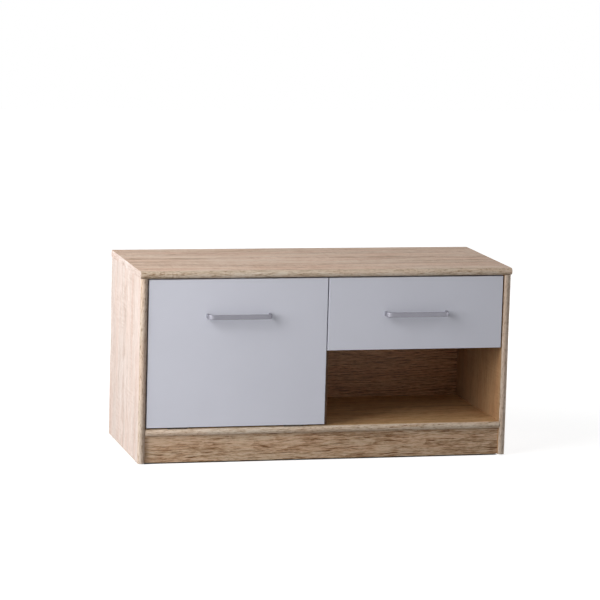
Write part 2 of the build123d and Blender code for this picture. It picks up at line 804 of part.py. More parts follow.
# Flap stay: bracket with its pivot on the flap, sliding arm, and swivel guide on the divider
stay_pin_length = stay_steel + 2 * stay_run
with BuildPart() as stay_bracket:
    stay_boss = stay_width / 2
    with BuildSketch(Plane.YZ.offset(stay_bracket_x)):
        with Locations((stay_bracket_y, stay_bracket_z)):
            Circle(stay_boss)
        with Locations(((fronts_back_y + stay_bracket_y) / 2, stay_bracket_z)):
            Rectangle(stay_bracket_y - fronts_back_y, 2 * stay_boss)
    extrude(amount=-stay_plate)
    with BuildSketch(Plane.XZ.offset(-fronts_back_y)):
        with Locations((stay_bracket_x - stay_foot / 2, stay_bracket_z)):
            RectangleRounded(stay_foot, stay_foot, 3)
    extrude(amount=-stay_plate)
    with Locations(Plane(origin=(stay_bracket_x, stay_bracket_y, stay_bracket_z), z_dir=LEFT)):
        Hole(stay_pin_radius + press, 2 * stay_plate)
    with Locations(*facing(stay_foot_screws, BACK)):
        screw_seat()
finish(stay_bracket, "stay_bracket")

stay_rivet_outline = [
    (0, stay_plate),
    (stay_pin_radius, stay_plate),
    (stay_pin_radius, -stay_pin_length),
    (stay_pin_radius + 1.5, -stay_pin_length),
    (stay_pin_radius + 1.5, -stay_pin_length - 1),
    (0, -stay_pin_length - 1),
]
stay_rivet_plane = Plane(origin=(stay_bracket_x, stay_bracket_y, stay_bracket_z), z_dir=LEFT)
stay_rivet = group(turned(stay_rivet_outline), [stay_rivet_plane])
finish(stay_rivet, "stay_rivet")

# Arm plane: origin at the bracket pivot, local X along the arm, normal towards -X
arm_plane = Plane(origin=(stay_arm_x, stay_bracket_y, stay_bracket_z), x_dir=stay_way, z_dir=LEFT)
with BuildPart() as stay_arm:
    with BuildSketch(arm_plane):
        with Locations((stay_length / 2, 0)):
            SlotOverall(stay_length + stay_width, stay_width)
        Circle(stay_pin_radius + play, mode=Mode.SUBTRACT)
    extrude(amount=stay_steel)
    with BuildSketch(arm_plane.offset(stay_steel)):
        with Locations((stay_length, 0)):
            Circle(stay_tail / 2)
    extrude(amount=stay_steel)
finish(stay_arm, "stay_arm")

guide_origin = (stay_hub_x, stay_guide_y, stay_guide_z)
guide_plane = Plane(origin=guide_origin, x_dir=stay_way, z_dir=LEFT)
guide_half = stay_guide_reach
guide_height = stay_width + 2 * (stay_run + stay_plate)
guide_depth = stay_hub_x - stay_cover_x + stay_steel
with BuildPart() as stay_guide:
    with BuildSketch(guide_plane):
        RectangleRounded(2 * guide_half - 1, guide_height, 2)
    extrude(amount=guide_depth)
    with BuildSketch(guide_plane.offset(stay_hub)):
        Rectangle(4 * guide_half, stay_width + 2 * stay_run)
    extrude(amount=stay_steel + 2 * stay_run, mode=Mode.SUBTRACT)
    with Locations(Plane(origin=guide_origin, z_dir=RIGHT)):
        Hole(stay_pin_radius + play, stay_hub - 1)
finish(stay_guide, "stay_guide")

with BuildPart() as stay_guide_base:
    with BuildSketch(Plane.YZ.offset(-divider_x)):
        with Locations((stay_guide_y, stay_guide_z)):
            RectangleRounded(stay_base_width, stay_foot + 6, 3)
    extrude(amount=-stay_plate)
    with BuildSketch(Plane.YZ.offset(stay_base_x)):
        with Locations((stay_guide_y, stay_guide_z)):
            Circle(stay_pin_radius)
    extrude(amount=-stay_hub + 1)
    with Locations(*facing(stay_base_screws, LEFT)):
        screw_seat()
finish(stay_guide_base, "stay_guide_base")


def runner_plane(wall_x, inward, y):
    """Section plane at a wall: local X runs from the wall into the opening, local Y is up."""
    return Plane(origin=(wall_x, y, 0), x_dir=(inward, 0, 0), z_dir=(0, -inward, 0))


def cabinet_runner(wall_x, inward, screws):
    """Channel on the wall, open below its front roller and closed by a stop at its rear end."""
    outline = [
        (0, track_z - runner_steel),
        (runner_track, track_z - runner_steel),
        (runner_track, track_z),
        (runner_steel, track_z),
        (runner_steel, cap_z),
        (runner_track, cap_z),
        (runner_track, cap_z + runner_steel),
        (0, cap_z + runner_steel),
    ]
    notch = 2 * (roller_from_end + roller_radius + roller_margin)
    rear_y = divider_front_y + runner_length
    slot_ys = [divider_front_y + runner_length * place for place in runner_slot_places]
    stop_x = wall_x + inward * (runner_track + runner_steel / 2) / 2
    with BuildPart() as runner:
        with BuildSketch(runner_plane(wall_x, inward, divider_front_y)) as section:
            with BuildLine():
                Polyline(*outline, close=True)
            make_face()
            fillet(section.vertices().group_by(Axis.X)[0], runner_steel)
        extrude(amount=-inward * runner_length)
        with Locations((stop_x, rear_y - runner_steel / 2, (track_z + cap_z) / 2)):
            Box(runner_track - runner_steel / 2, runner_steel, cap_z - track_z + runner_steel)
        with Locations((wall_x + inward * (runner_steel + runner_track), divider_front_y, track_z)):
            Box(2 * runner_track, notch, 4 * runner_steel, mode=Mode.SUBTRACT)
        for slot_y in slot_ys:
            with BuildSketch(Plane(origin=(wall_x, slot_y, roller_z), x_dir=BACK, z_dir=(inward, 0, 0))):
                SlotOverall(runner_slot, runner_slot_width)
            extrude(amount=runner_steel, mode=Mode.SUBTRACT)
        with Locations(Plane(origin=(wall_x, cabinet_roller_y, roller_z), z_dir=LEFT)):
            Cylinder(rivet_radius + press, 4 * runner_steel, mode=Mode.SUBTRACT)
        with Locations(*facing(screws, (inward, 0, 0))):
            screw_seat()
    return runner


def drawer_runner(wall_x, inward, screws):
    """Angle under the drawer side, with a flange that rides on the cabinet roller."""
    web = runner_space - runner_steel
    flange_edge = runner_steel + roller_margin
    outline = [
        (web, drawer_z - runner_steel),
        (runner_space + drawer_board, drawer_z - runner_steel),
        (runner_space + drawer_board, drawer_z),
        (runner_space, drawer_z),
        (runner_space, flange_z + runner_steel),
        (flange_edge, flange_z + runner_steel),
        (flange_edge, flange_z),
        (web, flange_z),
    ]
    length = runner_length - 2 * runner_end
    rear_y = fronts_back_y + runner_end + length
    notch = 2 * (roller_from_end + roller_radius + roller_margin)
    own_screws = [screw for screw in screws if abs(screw[0] - wall_x) < runner_space + drawer_board]
    with BuildPart() as runner:
        with BuildSketch(runner_plane(wall_x, inward, fronts_back_y + runner_end)) as section:
            with BuildLine():
                Polyline(*outline, close=True)
            make_face()
            outer_bends = section.vertices().sort_by_distance((web, drawer_z - runner_steel))[:1]
            outer_bends += section.vertices().sort_by_distance((runner_space, flange_z + runner_steel))[:1]
            fillet(outer_bends, runner_steel)
        extrude(amount=-inward * length)
        with Locations((wall_x + inward * web / 2, rear_y, flange_z)):
            Box(web, notch, 4 * runner_steel, mode=Mode.SUBTRACT)
        with Locations(Plane(origin=(wall_x + inward * runner_space, drawer_roller_y, roller_z), z_dir=LEFT)):
            Cylinder(rivet_radius + press, 4 * runner_steel, mode=Mode.SUBTRACT)
        with Locations(*facing(own_screws, DOWN)):
            screw_seat()
    return runner


def roller(x, y, inward):
    """Nylon roller with eased rims, from x towards the middle of the opening."""
    with BuildPart() as wheel:
        with BuildSketch(Plane(origin=(x, y, roller_z), z_dir=(inward, 0, 0))):
            Circle(roller_radius)
            Circle(rivet_radius + play, mode=Mode.SUBTRACT)
        extrude(amount=roller_width)
        chamfer(wheel.edges().filter_by(GeomType.CIRCLE).sort_by(SortBy.RADIUS)[-2:], roller_rim)
    return wheel


def rivet(length):
    """Rivet from its shank end at the origin to a head at the far end of +Z."""
    outline = [
        (0, 0),
        (rivet_radius, 0),
        (rivet_radius, length),
        (rivet_head_radius, length),
        (rivet_head_radius, length + rivet_head),
        (0, length + rivet_head),
    ]
    return turned(outline)


cabinet_roller_in = runner_steel + roller_margin
cabinet_rivet_length = cabinet_roller_in + roller_width + roller_run
drawer_roller_in = runner_steel + roller_margin + play
drawer_rivet_length = runner_space - drawer_roller_in + roller_run
cabinet_rivet_planes = []
drawer_rivet_planes = []
walls = (
    ("left", divider_x, 1, cabinet_screws_left),
    ("right", inner_x, -1, cabinet_screws_right),
)
for hand, wall_x, inward, wall_screws in walls:
    into_opening = (inward, 0, 0)
    to_wall = (-inward, 0, 0)
    finish(cabinet_runner(wall_x, inward, wall_screws), f"cabinet_runner_{hand}")
    finish(drawer_runner(wall_x, inward, drawer_runner_screws), f"drawer_runner_{hand}")
    cabinet_roller_x = wall_x + inward * cabinet_roller_in
    finish(roller(cabinet_roller_x, cabinet_roller_y, inward), f"cabinet_roller_{hand}")
    finish(roller(wall_x + inward * drawer_roller_in, drawer_roller_y, inward), f"drawer_roller_{hand}")
    cabinet_rivet_planes += facing([(wall_x, cabinet_roller_y, roller_z)], into_opening)
    drawer_rivet_x = wall_x + inward * runner_space
    drawer_rivet_planes += facing([(drawer_rivet_x, drawer_roller_y, roller_z)], to_wall)
finish(group(rivet(cabinet_rivet_length), cabinet_rivet_planes), "cabinet_roller_rivets")
finish(group(rivet(drawer_rivet_length), drawer_rivet_planes), "drawer_roller_rivets")

# Drawer
drawer_cam_z = drawer_z + drawer_side_height * 0.72
drawer_dowel_z = drawer_z + drawer_side_height * 0.38
left_mid_x = box_x0 + drawer_board / 2
right_mid_x = box_x1 - drawer_board / 2
drawer_cams_left = [Seat((left_mid_x, fronts_back_y, drawer_cam_z), BACK, RIGHT)]
drawer_cams_right = [Seat((right_mid_x, fronts_back_y, drawer_cam_z), BACK, LEFT)]
drawer_dowels_left = [Seat((left_mid_x, fronts_back_y, drawer_dowel_z), BACK, RIGHT)]
drawer_dowels_right = [Seat((right_mid_x, fronts_back_y, drawer_dowel_z), BACK, LEFT)]
drawer_cam_seats = drawer_cams_left + drawer_cams_right
drawer_dowel_seats = drawer_dowels_left + drawer_dowels_right
back_screw_y = drawer_back_y - drawer_board / 2
back_screw_zs = (drawer_dowel_z, drawer_cam_z)
back_screws_left = facing([(box_x0, back_screw_y, z) for z in back_screw_zs], LEFT)
back_screws_right = facing([(box_x1, back_screw_y, z) for z in back_screw_zs], RIGHT)
drawer_groove_mid_z = drawer_floor_z + drawer_groove / 2
floor_reach = groove_depth - groove_end_play

with BuildPart() as drawer_front:
    with BuildSketch(Plane.XZ.offset(-face_y)):
        with Locations((drawer_mid_x, handle_z)):
            Rectangle(drawer_x1 - drawer_x0, drawer_front_height)
    extrude(amount=-front_thickness)
    fillet(drawer_front.faces().sort_by(Axis.Y)[0].edges(), front_edge)
    with Locations(((box_x0 + box_x1) / 2, fronts_back_y, drawer_groove_mid_z)):
        floor_span = box_inner_x1 - box_inner_x0 + 2 * groove_depth
        Box(floor_span, 2 * groove_depth, drawer_groove, mode=Mode.SUBTRACT)
    with Locations(*handle_screw_planes(drawer_mid_x)):
        Hole(handle_screw_radius + play, 2 * front_thickness)
    with Locations(*against(drawer_cam_seats)):
        Hole(thread_bore, thread_bore_depth)
    with Locations(*against(drawer_dowel_seats)):
        Hole(dowel_bore, dowel_face_bore)
finish(drawer_front, "drawer_front")


def drawer_side(mid_x, inward, cams, dowels, screws):
    """Side of the drawer box; inward points to the inside of the drawer."""
    inner_face_x = mid_x + inward * drawer_board / 2
    own_screws = [screw for screw in drawer_runner_screws if abs(screw[0] - mid_x) < drawer_board]
    with BuildPart() as side:
        with BuildSketch(Plane.XY.offset(drawer_z)):
            with Locations((mid_x, fronts_back_y + runner_length / 2)):
                Rectangle(drawer_board, runner_length)
        extrude(amount=drawer_side_height)
        fillet(side.faces().sort_by(Axis.Z)[-1].edges().filter_by(Axis.Y), drawer_rim)
        with Locations((inner_face_x, fronts_back_y + runner_length / 2, drawer_groove_mid_z)):
            Box(2 * groove_depth, runner_length, drawer_groove, mode=Mode.SUBTRACT)
        with Locations(*into(cams)):
            Hole(bolt_bore, cam_reach)
        with Locations(*cam_planes(cams, drawer_board)):
            Hole(cam_bore, cam_bore_depth)
        with Locations(*into(dowels)):
            Hole(dowel_bore, dowel_edge_bore)
        with Locations(*screws):
            CounterBoreHole(wood_screw_radius + play, wood_screw_head_radius + play, wood_screw_head)
        with Locations(*facing([(x, y, drawer_z) for x, y, z in own_screws], DOWN)):
            screw_hole(runner_steel)
    return side


drawer_side_left = drawer_side(left_mid_x, 1, drawer_cams_left, drawer_dowels_left, back_screws_left)
finish(drawer_side_left, "drawer_side_left")
drawer_side_right = drawer_side(right_mid_x, -1, drawer_cams_right, drawer_dowels_right, back_screws_right)
finish(drawer_side_right, "drawer_side_right")

with BuildPart() as drawer_back:
    drawer_back_z = drawer_floor_z + drawer_groove
    with BuildSketch(Plane.XY.offset(drawer_back_z)):
        with Locations(((box_x0 + box_x1) / 2, back_screw_y)):
            Rectangle(box_inner_x1 - box_inner_x0, drawer_board)
    extrude(amount=drawer_top_z - drawer_back_z)
    fillet(drawer_back.faces().sort_by(Axis.Z)[-1].edges().filter_by(Axis.X), drawer_rim)
    drawer_back_bore = wood_screw_length + wood_screw_head + end_play - drawer_board
    with Locations(*facing([(box_inner_x0, back_screw_y, z) for z in back_screw_zs], LEFT)):
        Hole(wood_screw_radius + play, drawer_back_bore)
    with Locations(*facing([(box_inner_x1, back_screw_y, z) for z in back_screw_zs], RIGHT)):
        Hole(wood_screw_radius + play, drawer_back_bore)
finish(drawer_back, "drawer_back")

with BuildPart() as drawer_bottom:
    floor_y0 = fronts_back_y - floor_reach
    with BuildSketch(Plane.XY.offset(drawer_groove_mid_z - drawer_floor / 2)):
        with Locations(((box_x0 + box_x1) / 2, (floor_y0 + drawer_back_y) / 2)):
            Rectangle(box_inner_x1 - box_inner_x0 + 2 * floor_reach, drawer_back_y - floor_y0)
    extrude(amount=drawer_floor)
finish(drawer_bottom, "drawer_bottom")

# Fittings of the drawer, and the small screws of each moving group
finish(group(cam(drawer_board), cam_planes(drawer_cam_seats, drawer_board)), "drawer_cam_locks")
finish(group(bolt, against(drawer_cam_seats)), "drawer_cam_bolts")
finish(group(dowel, against(drawer_dowel_seats)), "drawer_dowels")
finish(group(wood_screw, back_screws_left + back_screws_right), "drawer_back_screws")

small_screw = stepped_screw(screw_radius, screw_length, screw_head_radius, screw_head)
carcass_screw_planes = facing(base_leaf_screws, UP) + facing(catch_screws, DOWN)
carcass_screw_planes += facing(stay_base_screws, LEFT)
carcass_screw_planes += facing(cabinet_screws_left, RIGHT) + facing(cabinet_screws_right, LEFT)
flap_screw_planes = facing(flap_leaf_screws, DOWN) + facing(catch_plate_screws + stay_foot_screws, BACK)
finish(group(small_screw, carcass_screw_planes), "carcass_screws")
finish(group(small_screw, flap_screw_planes), "flap_screws")
finish(group(small_screw, facing(drawer_runner_screws, DOWN)), "drawer_runner_screws")
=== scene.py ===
# %% [markdown]
# # Entryway bench
# The bench is a low chipboard carcass with a printed oak surface, a white drop flap on the left, and a white
# drawer over an open compartment on the right. The solids come from the CAD model and already have the right
# shape, so most of this lesson is about finishes: printed oak, white fronts, satin metal and small fittings.
# Everything is in metres, with X along the bench, Y towards the back and Z up from the floor.

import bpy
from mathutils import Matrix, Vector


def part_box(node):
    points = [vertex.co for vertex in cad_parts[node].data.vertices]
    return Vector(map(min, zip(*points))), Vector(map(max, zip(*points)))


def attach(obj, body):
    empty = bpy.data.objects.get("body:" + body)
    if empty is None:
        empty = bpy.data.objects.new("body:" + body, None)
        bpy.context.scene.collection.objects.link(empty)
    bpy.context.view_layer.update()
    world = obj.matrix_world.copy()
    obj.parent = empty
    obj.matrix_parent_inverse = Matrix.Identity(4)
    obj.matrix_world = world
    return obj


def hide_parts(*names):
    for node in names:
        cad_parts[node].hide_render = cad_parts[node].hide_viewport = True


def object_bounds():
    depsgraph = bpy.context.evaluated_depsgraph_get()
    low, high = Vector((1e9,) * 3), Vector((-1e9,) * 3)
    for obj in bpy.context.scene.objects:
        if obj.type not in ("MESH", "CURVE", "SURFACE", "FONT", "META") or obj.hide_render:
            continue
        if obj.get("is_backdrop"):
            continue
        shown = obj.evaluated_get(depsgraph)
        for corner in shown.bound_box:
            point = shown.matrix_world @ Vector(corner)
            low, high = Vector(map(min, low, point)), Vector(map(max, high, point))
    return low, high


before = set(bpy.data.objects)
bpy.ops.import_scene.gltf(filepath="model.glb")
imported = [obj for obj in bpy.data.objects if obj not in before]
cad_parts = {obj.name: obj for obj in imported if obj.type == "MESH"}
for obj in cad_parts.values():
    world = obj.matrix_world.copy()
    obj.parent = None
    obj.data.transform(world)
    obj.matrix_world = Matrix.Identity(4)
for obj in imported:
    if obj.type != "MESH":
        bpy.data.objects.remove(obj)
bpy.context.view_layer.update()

# %% [markdown]
# ## Colours
# Paint charts and photographs give colours as red, green and blue from 0 to 255 on a curved scale, while
# shaders work with straight amounts of light. One small function turns the first into the second, so that
# every colour below can be written as it would be read from a chart.

# %% Colours from a chart
from math import cos, pi, radians, sin
from typing import NamedTuple

import bmesh
import bpy
from mathutils import Matrix, Vector


def paint(red, green, blue):
    """Chart colour, 0 to 255, as the straight light amounts that a shader takes."""
    shares = [level / 255 for level in (red, green, blue)]
    straight = [s / 12.92 if s <= 0.04045 else ((s + 0.055) / 1.055) ** 2.4 for s in shares]
    return (*straight, 1.0)


def darker(colour, share):
    """The same colour with only this share of its light."""
    return (*(level * share for level in colour[:3]), 1.0)


print("mid grey is", [round(level, 3) for level in paint(128, 128, 128)[:3]])

# %% [markdown]
# ## Shader sums
# A material is a graph of nodes, and drawing it link by link hides the idea behind it. This class holds one
# socket of the graph. Adding or multiplying two of them adds the Math node that does it, so a mask such as
# `1 - pores` is written as the sum that it is. Every other node comes from one method.


# %% One socket of a finish
class Shade:
    """One output socket in a material's node graph."""

    def __init__(self, tree, socket=None):
        self.tree = tree
        self.socket = socket

    def node(self, kind, settings, inlets, outlet=0):
        """Add a node: its settings first, then the values or links of its sockets."""
        made = self.tree.nodes.new(kind)
        for name, value in settings.items():
            if name == "stops":
                made.color_ramp.elements.remove(made.color_ramp.elements[1])
                for spot, colour in value[1:]:
                    made.color_ramp.elements.new(spot).color = colour
                made.color_ramp.elements[0].position, made.color_ramp.elements[0].color = value[0]
            else:
                setattr(made, name, value)
        for name, value in inlets.items():
            if isinstance(value, Shade):
                self.tree.links.new(value.socket, made.inputs[name])
            else:
                made.inputs[name].default_value = value
        return Shade(self.tree, made.outputs[outlet] if made.outputs else None)

    def sum(self, operation, first, second=0.0):
        """Math node on two values or sockets."""
        return self.node("ShaderNodeMath", {"operation": operation}, {0: first, 1: second})

    def __add__(self, other):
        return self.sum("ADD", self, other)

    def __radd__(self, other):
        return self.sum("ADD", other, self)

    def __sub__(self, other):
        return self.sum("SUBTRACT", self, other)

    def __rsub__(self, other):
        return self.sum("SUBTRACT", other, self)

    def __mul__(self, other):
        return self.sum("MULTIPLY", self, other)

    def __rmul__(self, other):
        return self.sum("MULTIPLY", other, self)

    def __gt__(self, other):
        return self.sum("GREATER_THAN", self, other)

    def __lt__(self, other):
        return self.sum("LESS_THAN", self, other)


print("shader sums ready")

# %% [markdown]
# ## Words for finishes
# Nearly every finish below needs the same few things: the place on the piece, a noise that is stretched along
# some direction, a blend of two colours, and a closing shader. They are named once here, in a maker's words.
# The place is always the piece's own Object coordinates, so that a pattern stays on its piece when it moves.


# %% Places and noises
def new_finish(name):
    """Empty material and the Shade that starts its graph."""
    finish = bpy.data.materials.new(name)
    finish.use_nodes = True
    finish.node_tree.nodes.clear()
    return finish, Shade(finish.node_tree)


def place_on_piece(shade):
    """Object coordinates."""
    return shade.node("ShaderNodeTexCoord", {}, {}, "Object")


def axes_of(shade, place):
    """A place as three numbers."""
    return [shade.node("ShaderNodeSeparateXYZ", {}, {"Vector": place}, axis) for axis in "XYZ"]


def even(grains):
    """Spacing that is the same on every axis, in grains to the metre."""
    return (grains, grains, grains)


def drawn(along, across):
    """Spacing of a pattern drawn out along its first axis, in grains to the metre."""
    return (along, across, across)


def noise(shade, place, spacing, detail=3.0, roughness=0.5):
    """Soft noise from 0 to 1 with its own spacing on each axis."""
    spread = shade.node("ShaderNodeVectorMath", {"operation": "MULTIPLY"}, {0: place, 1: spacing})
    inlets = {"Vector": spread, "Scale": 1.0, "Detail": detail, "Roughness": roughness}
    return shade.node("ShaderNodeTexNoise", {}, inlets)


print("a fibre takes", drawn(60.0, 800.0), "grains to the metre")

# %% [markdown]
# Noise alone is a grey fog. A ramp turns it into colours, a step sharpens it into a mask, a blend lays one
# colour over another where a mask says so, and a relief turns it into fine height. The finish is then given
# to the CAD pieces through their material slots, which leaves their meshes alone.

# %% Blends and the closing shader
# A Mix node holds the sockets of all its kinds: these are the first and second inlet and the outlet of two.
mix_sockets = {"RGBA": (6, 7, 2), "VECTOR": (4, 5, 1)}
dressed = set()


def ramp(shade, value, *stops):
    """Colour or grey that follows a value through the stops."""
    return shade.node("ShaderNodeValToRGB", {"stops": stops}, {"Fac": value})


def step(shade, value, low, high):
    """0 below the low value, 1 above the high one, and smooth between them."""
    inlets = {"Value": value, "From Min": low, "From Max": high}
    return shade.node("ShaderNodeMapRange", {"interpolation_type": "SMOOTHSTEP"}, inlets)


def blend(shade, share, under, over, manner="MIX", kind="RGBA"):
    """Blend of two colours or two places: share of the second over the first."""
    first, second, outlet = mix_sockets[kind]
    settings = {"data_type": kind, "blend_type": manner}
    return shade.node("ShaderNodeMix", settings, {0: share, first: under, second: over}, outlet)


def relief(shade, height, depth):
    """Surface direction from a height map; depth is the height of a full step in metres."""
    return shade.node("ShaderNodeBump", {}, {"Height": height, "Distance": depth, "Strength": 1.0})


def close_finish(finish, shade, inlets):
    """Principled shader with these inlets, joined to the material's output."""
    surface = shade.node("ShaderNodeBsdfPrincipled", {}, inlets)
    shade.node("ShaderNodeOutputMaterial", {}, {"Surface": surface})
    return finish


def dress(finish, *names):
    """Give the finish to CAD nodes through their material slots."""
    for name in names:
        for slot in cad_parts[name].material_slots:
            slot.material = finish
        dressed.add(name)


print("finish words ready")

# %% [markdown]
# ## Printed oak
# The boards are chipboard covered with a printed oak foil. Up close the print has long soft streaks, fine
# fibres and short dark pores, all running one way along each board. A picture of wood would be the quick way,
# but a picture repeats and smears on the round front edges. Noise in the solid's own space, squeezed across
# the grain, flows round those edges as the foil does.
#
# Each foil is four tones from dark to pale. The top, the sides and the plinth have foils of their own, and so
# have the half-round noses at the front. The divider's front edge has a dark foil that is painted shade.

# %% Oak foils
warm_oak = [paint(112, 79, 52), paint(166, 132, 102), paint(196, 167, 140), paint(215, 193, 170)]
top_oak = [paint(128, 92, 67), paint(188, 151, 124), paint(217, 187, 165), paint(234, 213, 194)]
pale_oak = [paint(127, 100, 81), paint(181, 158, 145), paint(207, 192, 183), paint(225, 216, 212)]
plinth_oak = [paint(108, 76, 48), paint(166, 131, 99), paint(198, 167, 137), paint(218, 194, 167)]
nose_oak = [paint(132, 102, 75), paint(184, 160, 134), paint(210, 190, 168), paint(227, 212, 194)]
post_oak = [paint(112, 92, 73), paint(160, 141, 122), paint(188, 170, 152), paint(208, 193, 178)]
# Painted shade: the divider's edge foil is near-black brown, for the shade the flap casts on that edge.
divider_shade_oak = [paint(58, 42, 30), paint(82, 61, 44), paint(102, 77, 56), paint(120, 92, 68)]
tone_stops = (0.12, 0.38, 0.56, 0.8)


def oak_tones(shade, tone, tones):
    """Colour of the foil from dark at 0 to pale at 1."""
    return ramp(shade, tone, *zip(tone_stops, tones))


print("oak foils", len([warm_oak, top_oak, pale_oak, plinth_oak, nose_oak, post_oak, divider_shade_oak]))

# %% [markdown]
# Every board has its own direction of grain, and no two boards should show the same stretch of print. The
# place on a board is turned so that its first axis runs along the grain, which lets one recipe serve them
# all, and a long stride along that axis gives each board a stretch of its own. Real fibres also sway, so a
# slow noise moves the place from side to side.

# %% Along the grain
grain_order = {"x": (0, 1, 2), "y": (1, 0, 2), "z": (2, 0, 1)}
print_stride = 3.7
sway_reach = 0.016


def along_grain(shade, axes, along, stretch):
    """Place with its first axis along the grain, moved along it to a stretch of print of its own."""
    first, second, third = [axes[index] for index in grain_order[along]]
    inlets = {"X": first + print_stride * stretch, "Y": second, "Z": third}
    return shade.node("ShaderNodeCombineXYZ", {}, inlets)


def wander(shade, grain):
    """The same place, swaying slowly from side to side, so that the streaks aren't ruled lines."""
    sway = (noise(shade, grain, drawn(4.5, 12.0), 2.0) - 0.5) * sway_reach
    offset = shade.node("ShaderNodeCombineXYZ", {}, {"X": 0.0, "Y": sway, "Z": sway})
    return shade.node("ShaderNodeVectorMath", {"operation": "ADD"}, {0: grain, 1: offset})


print("streaks sway by", 1000 * sway_reach / 2, "mm to each side at most")

# %% [markdown]
# The arches in sawn oak are growth rings cut at a slant. Each board gets a heart line that runs beside it,
# and the distance from that line, cut into equal steps and bent by noise, gives arches along the middle of
# the board and straight lines at its edges.

# %% Growth rings
rings_to_metre = 150.0
ring_slant = 0.035
slow_bend, quick_bend = 0.03, 0.007


def growth_rings(shade, grain, heart):
    """Rings round a heart line beside the board: 0 after each dark line, rising to 1 before the next."""
    aside = shade.node("ShaderNodeVectorMath", {"operation": "SUBTRACT"}, {0: grain, 1: (0.0, *heart)})
    across = shade.node("ShaderNodeVectorMath", {"operation": "MULTIPLY"}, {0: aside, 1: (0.0, 1.0, 1.0)})
    radius = shade.node("ShaderNodeVectorMath", {"operation": "LENGTH"}, {0: across}, "Value")
    length = shade.node("ShaderNodeSeparateXYZ", {}, {"Vector": grain}, "X")
    slow = noise(shade, grain, drawn(3.0, 11.0), 2.0) - 0.5
    quick = noise(shade, grain, drawn(14.0, 70.0), 2.0) - 0.5
    bent = radius + length * ring_slant + slow * slow_bend + quick * quick_bend
    return shade.sum("FRACT", bent * rings_to_metre)


print("a ring every", round(1000 / rings_to_metre, 1), "mm")

# %% [markdown]
# The print itself is a sum of noises of different width, each drawn out along the grain: broad bands, streaks
# and fibres. Short dark cracks are taken away from it. Patches of fine marks across the grain look like the
# saw's, as on the real print, and a warm blush drifts over the colour. How much of each a board shows is its
# look, a named tuple, so that every number says what it is for. A patch is a part of a board with a foil of
# its own, such as a nose: it says where it is, and how it differs from the look of the rest.


# %% Oak print
class OakLook(NamedTuple):
    """How a board is printed: its middle tone, the contrast of its lines, and the strength of each mark."""

    depth: float
    contrast: float
    broad: float
    figure: float
    saw: float
    dash: float


class Patch(NamedTuple):
    """Part of a board: its mask, its own tones, and what it adds to contrast, paleness and fine flecks."""

    mask: Shade
    tones: list
    bolder: float
    paler: float
    flecked: float


warm_blush = (1.02, 0.965, 0.94, 1.0)
fibre_share = 0.7
pore_darkness = 0.42


def oak_print(shade, grain, heart, tones, look, patches=()):
    """Colour, height and pores of the oak foil."""
    swayed = wander(shade, grain)
    bands = noise(shade, swayed, drawn(3.0, 42.0), 3.0) - 0.5
    streaks = noise(shade, swayed, drawn(26.0, 340.0), 5.0, 0.7)
    fibres = noise(shade, swayed, drawn(60.0, 800.0), 3.0, 0.6)
    hairs = noise(shade, swayed, drawn(70.0, 1500.0), 2.0)
    cracks = step(shade, noise(shade, swayed, drawn(16.0, 400.0), 4.0, 0.6), 0.52, 0.62)
    flecks = step(shade, noise(shade, swayed, drawn(85.0, 360.0), 2.0), 0.54, 0.64)
    blush = step(shade, noise(shade, swayed, drawn(4.0, 48.0), 2.0), 0.44, 0.6)
    bites = step(shade, noise(shade, grain, drawn(6.0, 11.0), 2.0), 0.46, 0.62)
    marks = (noise(shade, grain, drawn(300.0, 14.0), 2.0) - 0.5) * bites
    rings = growth_rings(shade, grain, heart) - 0.5
    depth, contrast = look.depth, look.contrast
    for patch in patches:
        contrast = contrast + patch.mask * patch.bolder
        depth = depth + patch.mask * (patch.paler - flecks * patch.flecked)
    lines = bands * look.broad + (streaks - 0.5) + (fibres - 0.5) * fibre_share - cracks * look.dash
    tone = depth + lines * contrast + rings * look.figure + marks * look.saw
    colour = oak_tones(shade, tone, tones)
    for patch in patches:
        colour = blend(shade, patch.mask, colour, oak_tones(shade, tone, patch.tones))
    colour = blend(shade, blush, colour, warm_blush, "MULTIPLY")
    pores = step(shade, hairs + (streaks - 0.5) * 0.35, 0.60, 0.72)
    colour = blend(shade, pores * pore_darkness, colour, tones[0])
    height = streaks * 0.3 + fibres * 0.3 - pores * 0.6
    return colour, height, pores


print("a look has", ", ".join(OakLook._fields))

# %% [markdown]
# Where the foil stops, at the back and bottom edges that nobody sees, the chipboard is left raw. Chips could
# be modelled one by one, but at this size a Voronoi pattern does it: each cell is a chip with its own brown.

# %% Raw chipboard
chips_to_metre = 420.0


def chipboard(shade, place):
    """Colour and height of a sawn chipboard edge."""
    bent = noise(shade, place, even(160.0), 2.0)
    inlets = {"Vector": place, "Scale": chips_to_metre}
    cells = shade.node("ShaderNodeTexVoronoi", {}, inlets, "Color")
    chip = shade.node("ShaderNodeSeparateColor", {}, {"Color": cells}, "Red")
    browns = (0.1, paint(122, 92, 62)), (0.5, paint(176, 142, 104)), (0.9, paint(208, 178, 138))
    return ramp(shade, chip * 0.7 + bent * 0.3, *browns), chip


print("chips of about", round(1000 / chips_to_metre, 1), "mm")

# %% [markdown]
# One material serves a whole board, with its faces, its raw edges and its inside. The box of the board says
# where they are: a point within a foil's thickness of the box's back is on the back edge. Painting faces by
# hand would need new slots on the CAD mesh, which is left alone here.

# %% Edges of a board
foil = 0.0005
edge_tests = {
    "back": lambda axes, low, high: axes[1] > high.y - foil,
    "foot": lambda axes, low, high: axes[2] < low.z + foil,
    "left": lambda axes, low, high: axes[0] < low.x + foil,
    "right": lambda axes, low, high: axes[0] > high.x - foil,
    "top": lambda axes, low, high: axes[2] > high.z - foil,
}


def edges_of(name, axes, edges):
    """1 on the named edges of a board, 0 elsewhere."""
    low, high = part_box(name)
    masks = [edge_tests[edge](axes, low, high) for edge in edges.split()]
    return sum(masks[1:], masks[0])


print("edges that can be named:", ", ".join(edge_tests))
